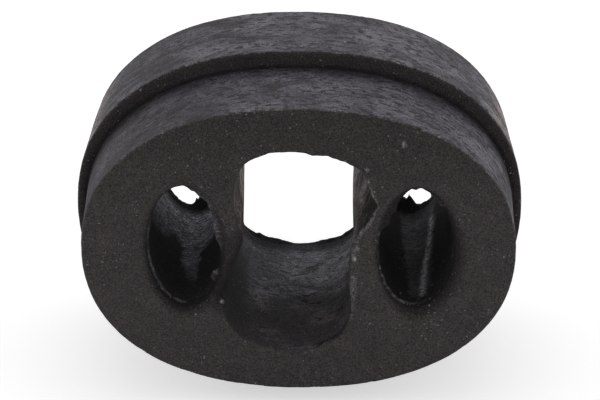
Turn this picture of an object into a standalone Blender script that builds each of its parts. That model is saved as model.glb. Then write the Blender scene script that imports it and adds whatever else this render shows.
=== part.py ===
"""Rubber buffer that hangs an exhaust silencer under a car.

One moulded block of black rubber. A narrow oval step stands in front of a wider one, and
three openings run right through from front to back: a tall waisted one in the middle, and
an oval one at each side for a hanger rod. Seen from the front, +X is to the right, +Y runs
along the openings to the back, and +Z is up. The block stands on its long side, with the
origin under its middle.
"""
import math

import bpy
import bmesh
from mathutils import Vector
from mathutils.geometry import interpolate_bezier

MM = 0.001

# The narrow front step. Squareness is the exponent of the oval: 2 is an ellipse.
FRONT_WIDTH = 70.0 * MM
FRONT_HEIGHT = 51.3 * MM
FRONT_DEPTH = 15.5 * MM
FRONT_SQUARENESS = 2.21
FRONT_DRAFT = 0.15 * MM

# The wide rear step, which a flat ledge joins to the front one
REAR_WIDTH = 73.5 * MM
REAR_HEIGHT = 56.8 * MM
REAR_DEPTH = 18.8 * MM
REAR_SQUARENESS = 2.27
REAR_DRAFT = 1.1 * MM

# The middle opening. It is waisted between the side holes, and runs out into four lobes.
OPENING_HEIGHT = 36.1 * MM
OPENING_HEIGHT_AT_BACK = 33.9 * MM
WAIST_WIDTH = 17.6 * MM
WAIST_WIDTH_AT_BACK = 19.0 * MM
LOBE_WIDTH_AT_BACK = 19.6 * MM
LOBE_RISE = 9.5 * MM
LOBE_RISE_AT_BACK = 12.0 * MM
UPPER_LEFT_LOBE = 10.3 * MM
UPPER_RIGHT_LOBE = 11.3 * MM
LOWER_LEFT_LOBE = 12.0 * MM
LOWER_RIGHT_LOBE = 8.5 * MM
CROWN_FULLNESS = 0.66
UPPER_CORNER_FULLNESS = 0.80
LOWER_CORNER_FULLNESS = 0.65
BACK_CORNER_FULLNESS = 0.55
WAIST_FULLNESS = 0.45

# The side holes, each behind a thin web beside the waist
SIDE_HOLE_WIDTH = 12.2 * MM
SIDE_HOLE_HEIGHT = 21.8 * MM
WEB_THICKNESS = 3.6 * MM
SIDE_HOLE_SHIFT = 0.3 * MM
SIDE_HOLE_LIFT = 0.6 * MM

# Rounded edges
STEP_EDGE_RADIUS = 0.5 * MM
BACK_EDGE_RADIUS = 0.8 * MM
OPENING_RIM_RADIUS = 0.4 * MM
BACK_RIM_RADIUS = 0.4 * MM

# The side holes' mouths are sharper by the webs, and rounder on their outer, lower side
INNER_MOUTH_RADIUS = 0.5 * MM
OUTER_MOUTH_RADIUS = 2.0 * MM
ROUNDEST_ANGLE = math.radians(-35.0)

# The left web's front corner is worn round between two heights above the openings' middle.
# A narrow land always stays beside the hole's mouth.
WORN_RIM_RADIUS = 2.4 * MM
WEB_LAND = 0.5 * MM
WEAR_TOP = 2.5 * MM
WEAR_BOTTOM = -5.5 * MM
WEAR_RUN_OUT = 3.5 * MM

# Facets round the curves
OVAL_STEPS = 96
BEZIER_STEPS = 12
SIDE_HOLE_STEPS = 44
WALL_STEPS = 5
EDGE_STEPS = 3
SHARP_ANGLE = math.radians(40.0)

# Worked out from the sizes above
DEPTH = FRONT_DEPTH + REAR_DEPTH
CENTRE_HEIGHT = REAR_HEIGHT / 2
SIDE_HOLE_OFFSET = WAIST_WIDTH / 2 + WEB_THICKNESS + SIDE_HOLE_WIDTH / 2


def oval(width, height, squareness, inset=0.0):
    """Points round an oval. Its lowest facet lies level, so that the block stands on it."""
    points = []
    for step in range(OVAL_STEPS):
        angle = math.tau * (step + 0.5) / OVAL_STEPS
        across = math.copysign(abs(math.cos(angle)) ** (2 / squareness), math.cos(angle))
        up = math.copysign(abs(math.sin(angle)) ** (2 / squareness), math.sin(angle))
        points.append(Vector(((width / 2 - inset) * across, (height / 2 - inset) * up)))
    return points


def ellipse(width, height, centre_x, centre_z):
    """Points round an ellipse, anticlockwise from its right-hand end."""
    angles = [math.tau * step / SIDE_HOLE_STEPS for step in range(SIDE_HOLE_STEPS)]
    return [Vector((centre_x + width / 2 * math.cos(angle), centre_z + height / 2 * math.sin(angle)))
            for angle in angles]


def curve(start, first_handle, second_handle, end):
    """Points along one cubic curve, without its end, where the next curve starts."""
    points = interpolate_bezier(start, first_handle, second_handle, end, BEZIER_STEPS + 1)
    return [point.to_2d() for point in points[:-1]]


def waist_side(start, end):
    """One side between a lobe and the waist, upright at both ends."""
    first_handle = Vector((start.x, start.y + (end.y - start.y) * WAIST_FULLNESS))
    second_handle = Vector((end.x, end.y + (start.y - end.y) * WAIST_FULLNESS))
    return curve(start, first_handle, second_handle, end)


def to_crown(lobe, crown, fullness):
    """From a lobe round its corner to the crown, the level middle of the top or bottom."""
    corner = Vector((lobe.x, crown.y))
    return curve(lobe, lobe.lerp(corner, fullness), crown.lerp(corner, CROWN_FULLNESS), crown)


def from_crown(crown, lobe, fullness):
    """The same curve the other way, from the crown round the corner to a lobe."""
    corner = Vector((lobe.x, crown.y))
    return curve(crown, crown.lerp(corner, CROWN_FULLNESS), lobe.lerp(corner, fullness), lobe)


def waisted(height, waist_width, lobes, rise, upper_fullness, lower_fullness):
    """Points round the middle opening, anticlockwise from the right-hand side of its waist.

    The lobes are the half-widths at the upper right, upper left, lower left and lower right.
    """
    upper_right, upper_left, lower_left, lower_right = lobes
    top = Vector((0.0, height / 2))
    bottom = Vector((0.0, -height / 2))
    right_waist = Vector((waist_width / 2, 0.0))
    left_waist = Vector((-waist_width / 2, 0.0))
    right_up = Vector((upper_right, rise))
    left_up = Vector((-upper_left, rise))
    left_down = Vector((-lower_left, -rise))
    right_down = Vector((lower_right, -rise))
    outline = waist_side(right_waist, right_up)
    outline += to_crown(right_up, top, upper_fullness)
    outline += from_crown(top, left_up, upper_fullness)
    outline += waist_side(left_up, left_waist)
    outline += waist_side(left_waist, left_down)
    outline += to_crown(left_down, bottom, lower_fullness)
    outline += from_crown(bottom, right_down, lower_fullness)
    outline += waist_side(right_down, right_waist)
    return outline


def grown(outline, distances):
    """An anticlockwise outline with each point moved outwards by its own distance."""
    points = []
    for index, point in enumerate(outline):
        before = outline[index - 1]
        after = outline[(index + 1) % len(outline)]
        along = (after - before).normalized()
        points.append(point + Vector((along.y, -along.x)) * distances[index])
    return points


def ring(outline, depths):
    """An outline in space, with each point at its own depth behind the front face."""
    return [Vector((point.x, depth, point.y)) for point, depth in zip(outline, depths)]


def level_ring(outline, depth):
    """An outline in space, all at one depth."""
    return ring(outline, [depth] * len(outline))


def quarter_round(radius):
    """Depth and setback of each point of a rounded edge, from the face inwards."""
    pairs = []
    for step in range(EDGE_STEPS + 1):
        angle = math.pi / 2 * step / EDGE_STEPS
        pairs.append((radius * (1 - math.cos(angle)), radius * (1 - math.sin(angle))))
    return pairs


def loft(name, rings):
    """A closed solid through rings of points across, back and up, each ring with as many."""
    shape = bmesh.new()
    front_middle = Vector((0.0, -DEPTH / 2, CENTRE_HEIGHT))
    loops = [[shape.verts.new(front_middle + point) for point in points] for points in rings]
    for near, far in zip(loops, loops[1:]):
        for index in range(len(near)):
            beside = (index + 1) % len(near)
            shape.faces.new((near[index], near[beside], far[beside], far[index]))
    caps = [shape.faces.new(loops[0]), shape.faces.new(list(reversed(loops[-1])))]
    walls = [face for face in shape.faces if face not in caps]
    bmesh.ops.triangulate(shape, faces=walls)
    bmesh.ops.recalc_face_normals(shape, faces=shape.faces)
    mesh = bpy.data.meshes.new(name)
    shape.to_mesh(mesh)
    shape.free()
    piece = bpy.data.objects.new(name, mesh)
    bpy.context.collection.objects.link(piece)
    return piece


def body_rings():
    """The two steps with their draft, rounded edges and the ledge between them."""
    rings = []
    for depth, setback in quarter_round(STEP_EDGE_RADIUS):
        outline = oval(FRONT_WIDTH, FRONT_HEIGHT, FRONT_SQUARENESS, setback)
        rings.append(level_ring(outline, depth))
    outline = oval(FRONT_WIDTH, FRONT_HEIGHT, FRONT_SQUARENESS, -FRONT_DRAFT)
    rings.append(level_ring(outline, FRONT_DEPTH))
    for depth, setback in quarter_round(STEP_EDGE_RADIUS):
        outline = oval(REAR_WIDTH, REAR_HEIGHT, REAR_SQUARENESS, setback)
        rings.append(level_ring(outline, FRONT_DEPTH + depth))
    for depth, setback in reversed(quarter_round(BACK_EDGE_RADIUS)):
        outline = oval(REAR_WIDTH, REAR_HEIGHT, REAR_SQUARENESS, REAR_DRAFT + setback)
        rings.append(level_ring(outline, DEPTH - depth))
    return rings


def cutter_rings(front_outline, back_outline, rims):
    """A hole's space, flared at both ends so that its rims come out rounded.

    Rims holds the front rim's radius at each point. The first and last rings lie a little
    outside the block, in line with the rim's first facet.
    """
    # The corner of a rim of radius 1, to be scaled by each point's own radius
    corner = quarter_round(1.0)
    lead = corner[1][0]
    flare = 2 * corner[0][1] - corner[1][1]
    rings = []
    for depth, setback in [(-lead, flare)] + corner[1:]:
        outline = grown(front_outline, [radius * setback for radius in rims])
        rings.append(ring(outline, [radius * depth for radius in rims]))
    wall_start = max(rims)
    wall_end = DEPTH - BACK_RIM_RADIUS
    for step in range(1, WALL_STEPS):
        depth = wall_start + (wall_end - wall_start) * step / WALL_STEPS
        shares = [(depth - radius) / (wall_end - radius) for radius in rims]
        outline = [near.lerp(far, share)
                   for near, far, share in zip(front_outline, back_outline, shares)]
        rings.append(level_ring(outline, depth))
    for depth, setback in list(reversed(corner[1:])) + [(-lead, flare)]:
        outline = grown(back_outline, [BACK_RIM_RADIUS * setback] * len(back_outline))
        rings.append(level_ring(outline, DEPTH - BACK_RIM_RADIUS * depth))
    return rings


def cut(body, cutter):
    """Takes the cutter's space out of the body, and keeps the cutter as a wire guide."""
    cutter.hide_render = True
    cutter.display_type = "WIRE"
    boolean = body.modifiers.new(cutter.name, "BOOLEAN")
    boolean.operation = "DIFFERENCE"
    boolean.solver = "EXACT"
    boolean.object = cutter


def side_hole_outline(side):
    """The oval of one side hole: -1 for the left one, +1 for the right one."""
    centre_x = side * SIDE_HOLE_OFFSET + SIDE_HOLE_SHIFT
    return ellipse(SIDE_HOLE_WIDTH, SIDE_HOLE_HEIGHT, centre_x, SIDE_HOLE_LIFT)


def mouth_rims(side):
    """A side hole's front rim radius at each point of its outline."""
    rims = []
    for step in range(SIDE_HOLE_STEPS):
        angle = math.tau * step / SIDE_HOLE_STEPS
        from_roundest = angle - ROUNDEST_ANGLE if side > 0 else math.pi - angle - ROUNDEST_ANGLE
        share = (1 + math.cos(from_roundest)) / 2
        rims.append(INNER_MOUTH_RADIUS + (OUTER_MOUTH_RADIUS - INNER_MOUTH_RADIUS) * share)
    return rims


def opening_rims(outline):
    """The middle opening's front rim radius at each point, wider along the worn left web."""
    mouth = list(zip(side_hole_outline(-1), mouth_rims(-1)))
    rims = []
    for point in outline:
        below_top = (WEAR_TOP + WEAR_RUN_OUT - point.y) / WEAR_RUN_OUT
        above_bottom = (point.y - WEAR_BOTTOM + WEAR_RUN_OUT) / WEAR_RUN_OUT
        worn = max(0.0, min(1.0, below_top, above_bottom)) if point.x < 0 else 0.0
        eased = worn * worn * (3 - 2 * worn)
        room = min((point - other).length - rim for other, rim in mouth) - WEB_LAND
        widest = max(OPENING_RIM_RADIUS, min(WORN_RIM_RADIUS, room))
        rims.append(OPENING_RIM_RADIUS + (widest - OPENING_RIM_RADIUS) * eased)
    return rims


def middle_opening():
    """The waisted opening, whose walls run nearly straight at the back."""
    lobes = (UPPER_RIGHT_LOBE, UPPER_LEFT_LOBE, LOWER_LEFT_LOBE, LOWER_RIGHT_LOBE)
    front = waisted(OPENING_HEIGHT, WAIST_WIDTH, lobes, LOBE_RISE,
                    UPPER_CORNER_FULLNESS, LOWER_CORNER_FULLNESS)
    lobes_at_back = (LOBE_WIDTH_AT_BACK / 2,) * 4
    back = waisted(OPENING_HEIGHT_AT_BACK, WAIST_WIDTH_AT_BACK, lobes_at_back,
                   LOBE_RISE_AT_BACK, BACK_CORNER_FULLNESS, BACK_CORNER_FULLNESS)
    return loft("middle_opening_space", cutter_rings(front, back, opening_rims(front)))


def side_hole(side):
    """The rod's hole on one side, straight through behind its mouth."""
    outline = side_hole_outline(side)
    name = "right_hole_space" if side > 0 else "left_hole_space"
    return loft(name, cutter_rings(outline, outline, mouth_rims(side)))


def black_rubber():
    """Carbon-black rubber as it leaves the mould: dull, with a faint sheen."""
    material = bpy.data.materials.new("moulded_black_rubber")
    material.use_nodes = True
    shader = material.node_tree.nodes["Principled BSDF"]
    shader.inputs["Base Color"].default_value = (0.035, 0.033, 0.034, 1.0)
    shader.inputs["Roughness"].default_value = 0.75
    shader.inputs["Metallic"].default_value = 0.0
    return material


def main():
    for old in list(bpy.data.objects):
        bpy.data.objects.remove(old, do_unlink=True)
    buffer = loft("rubber_buffer", body_rings())
    cut(buffer, middle_opening())
    cut(buffer, side_hole(-1))
    cut(buffer, side_hole(1))
    buffer.data.materials.append(black_rubber())
    buffer.data.shade_smooth()
    buffer.data.set_sharp_from_angle(angle=SHARP_ANGLE)


main()
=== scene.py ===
# %% [markdown]
# # A rubber block that hangs an exhaust silencer
#
# The real object is one piece of black rubber, pressed hot into a steel mould and pulled out
# of it. It has two oval steps, a tall waisted opening in the middle and an oval hole at each
# side, through which the car's steel rods go. We load its solid, dress a copy of it with the
# marks that moulding, trimming and handling leave, and light it on a plain white floor.

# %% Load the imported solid
import math

import bpy
import numpy as np
from mathutils import Matrix, Vector


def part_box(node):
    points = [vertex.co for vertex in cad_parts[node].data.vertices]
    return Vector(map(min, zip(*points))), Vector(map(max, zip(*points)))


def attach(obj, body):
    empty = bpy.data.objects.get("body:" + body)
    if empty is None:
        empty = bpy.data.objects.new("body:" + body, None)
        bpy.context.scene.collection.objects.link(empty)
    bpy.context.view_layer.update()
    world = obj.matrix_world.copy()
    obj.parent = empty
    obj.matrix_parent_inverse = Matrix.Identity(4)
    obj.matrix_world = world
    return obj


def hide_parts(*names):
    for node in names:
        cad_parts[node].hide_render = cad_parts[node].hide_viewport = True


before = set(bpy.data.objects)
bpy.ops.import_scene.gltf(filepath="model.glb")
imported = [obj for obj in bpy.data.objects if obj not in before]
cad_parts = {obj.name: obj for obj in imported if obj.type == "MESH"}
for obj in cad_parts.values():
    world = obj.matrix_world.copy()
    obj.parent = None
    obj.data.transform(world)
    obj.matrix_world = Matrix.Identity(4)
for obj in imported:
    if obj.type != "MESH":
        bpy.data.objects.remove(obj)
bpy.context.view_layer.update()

MM = 0.001
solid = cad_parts["rubber_buffer"]

# %% [markdown]
# ## The camera
#
# The block stands on its long side and is seen from a little above its front. A long lens
# far away keeps its two ovals almost the same size, as in a catalogue picture. The aim is a
# point above the middle of the front face, which sets the block low in the picture.

# %% Place the camera
low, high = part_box("rubber_buffer")
front_y = low.y
middle_z = (low.z + high.z) / 2

PICTURE_WIDTH_PX = 600
FOCAL_LENGTH_PX = 2800
SENSOR_WIDTH_MM = 36.0
PITCH = math.radians(28.0)
YAW = math.radians(-0.40)
ROLL = math.radians(0.37)
CAMERA_DISTANCE = 444.8 * MM
AIM = Vector((0.2 * MM, front_y, middle_z + 9.63 * MM))

view_direction = Vector((
    math.sin(YAW) * math.cos(PITCH), math.cos(YAW) * math.cos(PITCH), -math.sin(PITCH)))
camera_data = bpy.data.cameras.new("camera")
camera = bpy.data.objects.new("camera", camera_data)
bpy.context.scene.collection.objects.link(camera)
camera_data.sensor_width = SENSOR_WIDTH_MM
camera_data.lens = FOCAL_LENGTH_PX / PICTURE_WIDTH_PX * SENSOR_WIDTH_MM
camera_data.clip_start = 10 * MM
turn = view_direction.to_track_quat("-Z", "Y").to_matrix().to_4x4()
place = Matrix.Translation(AIM - view_direction * CAMERA_DISTANCE)
camera.matrix_world = place @ turn @ Matrix.Rotation(ROLL, 4, "Z")
bpy.context.scene.camera = camera
print("lens, mm:", round(camera_data.lens, 1))

# %% [markdown]
# ## Helpers for materials
#
# Colours are written as on a colour card, in sRGB hex, and one function turns them into the
# linear values that the renderer adds up. One more function adds a node, sets it and links it,
# so that each material below reads as a list of what its surface is made of.

# %% Colours and nodes
def linear(hex_colour):
    """The linear RGBA of an sRGB hex colour."""
    parts = [int(hex_colour[i:i + 2], 16) / 255 for i in (1, 3, 5)]
    curve = [c / 12.92 if c <= 0.04045 else ((c + 0.055) / 1.055) ** 2.4 for c in parts]
    return (*curve, 1.0)


def add_node(tree, kind, settings=None, inputs=None):
    """Adds a node, sets its properties, and fills or links its inputs."""
    node = tree.nodes.new(kind)
    for name, value in (settings or {}).items():
        setattr(node, name, value)
    for name, value in (inputs or {}).items():
        if isinstance(value, bpy.types.NodeSocket):
            tree.links.new(value, node.inputs[name])
        else:
            node.inputs[name].default_value = value
    return node


def new_material(name):
    """A material with an empty node tree, and that tree."""
    material = bpy.data.materials.new(name)
    material.use_nodes = True
    material.node_tree.nodes.clear()
    return material, material.node_tree


WHITE = linear("#ffffff")
PAPER_WHITE = linear("#e6e6e6")
print("white paper in linear light:", [round(v, 3) for v in PAPER_WHITE])

# %% [markdown]
# ## The floor
#
# Catalogue pictures are taken on white paper, lit until it burns out to pure white. We don't
# over-light the block for that: the paper keeps its own colour and catches the block's shadow,
# and only where the camera looks straight at it does it get the glow of the lit paper.

# %% Lay the floor
FLOOR_SIZE = 4.0
FLOOR_GLOW = 0.55

bpy.ops.object.select_all(action="DESELECT")
bpy.ops.mesh.primitive_plane_add(size=FLOOR_SIZE, location=(0.0, 0.0, 0.0))
floor = bpy.context.object
floor.name = "floor"

paper, tree = new_material("matt_white_paper")
path = add_node(tree, "ShaderNodeLightPath")
dull = add_node(tree, "ShaderNodeBsdfDiffuse", inputs={"Color": PAPER_WHITE})
lift = add_node(tree, "ShaderNodeMath", {"operation": "MULTIPLY"}, {
    0: path.outputs["Is Camera Ray"], 1: FLOOR_GLOW})
glow = add_node(tree, "ShaderNodeEmission", inputs={"Color": WHITE, "Strength": lift.outputs[0]})
lit_paper = add_node(tree, "ShaderNodeAddShader", inputs={0: dull.outputs[0], 1: glow.outputs[0]})
add_node(tree, "ShaderNodeOutputMaterial", inputs={"Surface": lit_paper.outputs[0]})
floor.data.materials.append(paper)
print("floor, m:", FLOOR_SIZE, "square")

# %% [markdown]
# ## The studio light
#
# Black rubber shows its shape by soft reflections. The room is a little brighter behind the
# block than in front of it, which gives the grazing shine on the tops of both steps and on the
# floors of the openings, and leaves the front face dull. Four softboxes round it fill in.

# %% Light the room
FRONT_GLOW = 0.42
BACK_GLOW = 0.70

world = bpy.data.worlds.new("studio")
bpy.context.scene.world = world
world.use_nodes = True
tree = world.node_tree
tree.nodes.clear()
path = add_node(tree, "ShaderNodeLightPath")
where = add_node(tree, "ShaderNodeTexCoord")
parts = add_node(tree, "ShaderNodeSeparateXYZ", inputs={"Vector": where.outputs["Generated"]})
room = add_node(tree, "ShaderNodeMapRange", {"interpolation_type": "SMOOTHSTEP"}, {
    "Value": parts.outputs["Y"], "From Min": -0.4, "From Max": 0.6,
    "To Min": FRONT_GLOW, "To Max": BACK_GLOW})
fill = add_node(tree, "ShaderNodeBackground", inputs={"Color": WHITE, "Strength": room.outputs[0]})
backdrop = add_node(tree, "ShaderNodeBackground", inputs={"Color": WHITE, "Strength": 1.0})
sky = add_node(tree, "ShaderNodeMixShader", inputs={
    "Fac": path.outputs["Is Camera Ray"], 1: fill.outputs[0], 2: backdrop.outputs[0]})
add_node(tree, "ShaderNodeOutputWorld", inputs={"Surface": sky.outputs[0]})
bpy.context.scene.view_settings.view_transform = "Standard"
print("room glow, front and back:", FRONT_GLOW, BACK_GLOW)

# %% [markdown]
# In a studio the fill comes from softboxes, white cloth boxes with a lamp inside. Square area
# lamps do the same. They are weak, because the lit room already does most of the work.

# %% Hang the softboxes
SOFTBOX_SIZE = 0.6


def add_softbox(name, place, watts):
    """A square lamp that faces the middle of the block."""
    lamp_data = bpy.data.lights.new(name, "AREA")
    lamp_data.size = SOFTBOX_SIZE
    lamp_data.energy = watts
    lamp = bpy.data.objects.new(name, lamp_data)
    bpy.context.scene.collection.objects.link(lamp)
    lamp.location = place
    aim = Vector((0.0, 0.0, middle_z)) - Vector(place)
    lamp.rotation_euler = aim.to_track_quat("-Z", "Y").to_euler()


add_softbox("top_softbox", (0.0, 0.1, 0.8), 0.4)
add_softbox("left_softbox", (-0.75, -0.1, 0.35), 0.6)
add_softbox("right_softbox", (0.75, -0.1, 0.35), 0.6)
add_softbox("front_softbox", (0.0, -0.9, 0.15), 0.6)
print("lamps:", len(bpy.data.lights))

# %% [markdown]
# ## The rubber block: a finer skin
#
# The solid has the right shape but few faces, too few to carry a torn edge or a thread of
# flash. We copy it, merge its loose triangles, and let a voxel remesh lay an even net of small
# squares over it. A remesh rounds every edge by about a voxel, so a shrinkwrap then draws each
# point back onto the solid, and the mould's crisp edges return.

# %% Copy, remesh and draw back
VOXEL = 0.28 * MM
SAME_PLACE = 0.001 * MM

bpy.ops.object.select_all(action="DESELECT")
block = bpy.data.objects.new("rubber_block", solid.data.copy())
bpy.context.scene.collection.objects.link(block)
bpy.context.view_layer.objects.active = block
block.select_set(True)
bpy.ops.object.mode_set(mode="EDIT")
bpy.ops.mesh.select_all(action="SELECT")
bpy.ops.mesh.remove_doubles(threshold=SAME_PLACE)
bpy.ops.object.mode_set(mode="OBJECT")

remesh = block.modifiers.new("even_net", "REMESH")
remesh.mode = "VOXEL"
remesh.voxel_size = VOXEL
bpy.ops.object.modifier_apply(modifier=remesh.name)
draw_back = block.modifiers.new("draw_back", "SHRINKWRAP")
draw_back.target = solid
draw_back.wrap_method = "NEAREST_SURFACEPOINT"
bpy.ops.object.modifier_apply(modifier=draw_back.name)
print("net:", len(block.data.polygons), "squares")

# %% [markdown]
# ## Helpers for shaping
#
# From here on we work as a sculptor would, but with numbers: every mark is a rule that says
# how far the points near it move. The rules are written in millimetres from the centre of the
# front oval: `x` to the right, `depth` back from the front face, `z` up.

# %% Points in millimetres, soft steps and noise
def read_points(mesh):
    """The x, depth and z of every point, and its outward direction, as arrays."""
    places = np.empty(len(mesh.vertices) * 3)
    mesh.vertices.foreach_get("co", places)
    places = places.reshape(-1, 3)
    outward = np.empty(len(mesh.vertices) * 3, dtype=np.float32)
    mesh.vertex_normals.foreach_get("vector", outward)
    x = places[:, 0] / MM
    depth = (places[:, 1] - front_y) / MM
    z = (places[:, 2] - middle_z) / MM
    return np.stack((x, depth, z), axis=1), outward.reshape(-1, 3).astype(float)


def write_points(mesh, points):
    """Puts moved points back into the mesh."""
    places = np.stack((
        points[:, 0] * MM, points[:, 1] * MM + front_y, points[:, 2] * MM + middle_z), axis=1)
    mesh.vertices.foreach_set("co", places.ravel())
    mesh.update()


def ramp(value, start, end):
    """A soft step from 0 at start to 1 at end, which may also run downwards."""
    t = np.clip((value - start) / (end - start), 0.0, 1.0)
    return t * t * (3.0 - 2.0 * t)


def grain(points, size, seed):
    """Smooth random values from -1 to 1 that change over about size millimetres."""
    cell = points / size
    corner = np.floor(cell).astype(np.int64)
    blend = cell - corner
    blend = blend * blend * (3.0 - 2.0 * blend)
    total = np.zeros(len(points))
    for step in np.ndindex(2, 2, 2):
        at = (corner + step) & 0xFFFF
        key = at[:, 0] * 73856093 ^ at[:, 1] * 19349663 ^ at[:, 2] * 83492791 ^ seed * 97531
        key = (key ^ (key >> 13)) * 1274126177 & 0x7FFFFFFF
        key = (key ^ (key >> 15)) * 668265263 & 0x7FFFFFFF
        share = np.prod(np.where(step, blend, 1.0 - blend), axis=1)
        total += share * ((key >> 8 & 0xFFFF) / 32767.5 - 1.0)
    return total


points, outward = read_points(block.data)
BLOCK_DEPTH = points[:, 1].max()
print("points:", len(points), "block depth, mm:", round(BLOCK_DEPTH, 2))

# %% [markdown]
# ## The mould's own unevenness
#
# A steel mould is polished by hand, and rubber shrinks a little unevenly as it cools, so no
# face is truly flat and no edge is truly even. The whole skin sinks by a few hundredths of a
# millimetre in slow swells, and the edges get small nicks where the parting flash tore off.

# %% Swells and nicks
SWELL_DEPTH = 0.05
RIPPLE_DEPTH = 0.02
NICK_DEPTH = 0.30


def sink(points, outward, amount):
    """Moves every point inwards by its own amount."""
    return points - outward * amount[:, None]


swell = SWELL_DEPTH * (1.0 + grain(points, 7.0, 1)) + RIPPLE_DEPTH * (1.0 + grain(points, 1.6, 2))
slant = np.abs(outward[:, 1])
on_edge = ramp(slant, 0.20, 0.45) * ramp(slant, 0.97, 0.85)
nick_noise = 0.6 * grain(points, 1.5, 3) + 0.4 * grain(points, 0.6, 4)
nick = NICK_DEPTH * on_edge * ramp(nick_noise, 0.25, 0.75)
points = sink(points, outward, swell + nick)
print("largest sink, mm:", round(float((swell + nick).max()), 2))

# %% [markdown]
# ## Round the side holes
#
# The side holes' mouths are sharp beside the webs and rounder on their outer, lower side, and a
# shallow dish lies round each. Distances are measured from the hole's oval wall, outwards
# positive, and angles go round the hole from its right side.

# %% Measure round the side holes
HOLE_HALF_WIDTH = 6.1
HOLE_HALF_HEIGHT = 10.9
HOLE_HEIGHT = 0.6
LEFT_HOLE = -18.2
RIGHT_HOLE = 18.8
SHARPEST_MOUTH = 0.5
ROUNDEST_MOUTH = 2.0
ROUNDEST_ANGLE = -35.0


def round_hole(points, centre):
    """For each point: how far it is outside the hole's wall, its angle, and the way in."""
    side = (points[:, 0] - centre) / HOLE_HALF_WIDTH
    rise = (points[:, 2] - HOLE_HEIGHT) / HOLE_HALF_HEIGHT
    reach = np.maximum(np.hypot(side, rise), 0.01)
    length = np.hypot(points[:, 0] - centre, points[:, 2] - HOLE_HEIGHT)
    way = np.stack((side / HOLE_HALF_WIDTH, np.zeros(len(points)), rise / HOLE_HALF_HEIGHT), axis=1)
    way = -way / np.maximum(np.linalg.norm(way, axis=1), 1e-6)[:, None]
    return (reach - 1.0) * length / reach, np.degrees(np.arctan2(rise, side)), way


def mouth_radius(angle, centre):
    """The rounding of a mouth at each angle, mirrored for the left hole."""
    turn = angle - ROUNDEST_ANGLE if centre > 0 else 180.0 - angle - ROUNDEST_ANGLE
    share = (1.0 + np.cos(np.radians(turn))) / 2.0
    return SHARPEST_MOUTH + (ROUNDEST_MOUTH - SHARPEST_MOUTH) * share


def read_off(measure, table):
    """A value read off a table of (measure, value) pairs, straight between them."""
    measures, values = zip(*table)
    return np.interp(measure, measures, values)


print("side holes, mm:", 2 * HOLE_HALF_WIDTH, "wide and", 2 * HOLE_HALF_HEIGHT, "high")

# %% [markdown]
# The dish round each hole is where the hot rubber sank in as it cooled round the core pin. It
# is deepest beside the hole and gone three millimetres away, so we press the face back by the
# square of what is left of that distance.

# %% Press the dishes
DISH_WIDTH = 3.0
DISH_REACH_BACK = 3.5
LEFT_DISH = ((-180, 0.2), (-120, 0.3), (-70, 0.4), (-20, 0.3), (40, 0.25), (100, 0.15), (180, 0.2))
RIGHT_DISH = ((-180, 0.2), (-120, 0.4), (-60, 0.5), (0, 0.45), (60, 0.3), (120, 0.15), (180, 0.2))

for centre, dish in ((LEFT_HOLE, LEFT_DISH), (RIGHT_HOLE, RIGHT_DISH)):
    away, angle, way = round_hole(points, centre)
    fall = np.clip(1.0 - away / DISH_WIDTH, 0.0, 1.0) ** 2
    shallow = ramp(points[:, 1], DISH_REACH_BACK, 0.0)
    points[:, 1] += read_off(angle, dish) * fall * shallow
print("deepest dish, mm:", max(deep for _, deep in LEFT_DISH + RIGHT_DISH))

# %% [markdown]
# ## Flash in the side holes
#
# Where two parts of the mould meet, a skin of rubber squeezes out and is torn off by hand. At
# the far end of each hole a ragged web of it is left, widest at the bottom. A cut-out sheet
# could be put there. The wall itself is drawn out instead, by a table of reaches at each angle,
# so that the web stays one piece with the block.

# %% Draw out the flash
RAG_SIZE = 0.7
RAG_SHARE = 0.30
FLASH_THICKNESS = 0.45
FLASH_FOOT = 0.3


def draw_out(points, centre, table, start, end, foot, seed):
    """How far and which way to pull the wall from start to end, with a foot at each side."""
    away, angle, way = round_hole(points, centre)
    noise = grain(points, RAG_SIZE, seed) + grain(points, RAG_SIZE * 2.4, seed + 1)
    rag = 1.0 + RAG_SHARE * noise
    between = ramp(points[:, 1], start - foot, start) * ramp(points[:, 1], end + foot, end)
    near_wall = ramp(np.abs(away), 1.6, 0.4)
    reach = read_off(angle, table) * rag * between * near_wall
    return reach, way


FAR_LEFT_FLASH = ((-180, 0.25), (-136, 0.5), (-121, 0.5), (-112, 0.6), (-102, 0.75), (-95, 0.95),
                  (-91, 1.3), (-85, 1.8), (-76, 2.0), (-66, 2.3), (-45, 1.4), (0, 0.3), (60, 0.4),
                  (110, 0.25), (180, 0.25))
FAR_RIGHT_FLASH = ((-180, 0.3), (-140, 1.4), (-114, 2.6), (-100, 2.7), (-90, 2.9), (-77, 3.0),
                   (-73, 1.2), (-68, 0.85), (-57, 0.5), (-40, 0.3), (0, 0.2), (50, 0.5),
                   (90, 0.3), (150, 0.5), (180, 0.3))
flash_start = BLOCK_DEPTH - FLASH_THICKNESS
behind_block = BLOCK_DEPTH + 1.0
for centre, table, seed in ((LEFT_HOLE, FAR_LEFT_FLASH, 11), (RIGHT_HOLE, FAR_RIGHT_FLASH, 13)):
    reach, way = draw_out(points, centre, table, flash_start, behind_block, FLASH_FOOT, seed)
    points = points + way * reach[:, None]
print("longest flash in the right hole, mm:", round(float(reach.max()), 2))

# %% [markdown]
# At the near end a lip runs round the inside of each mouth, with a few broader flaps and a tab.
# They are drawn out of the wall just behind the rounded mouth and curl a little to the front.
# They are thin and catch dust, so their reach is kept for the finish.

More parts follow.
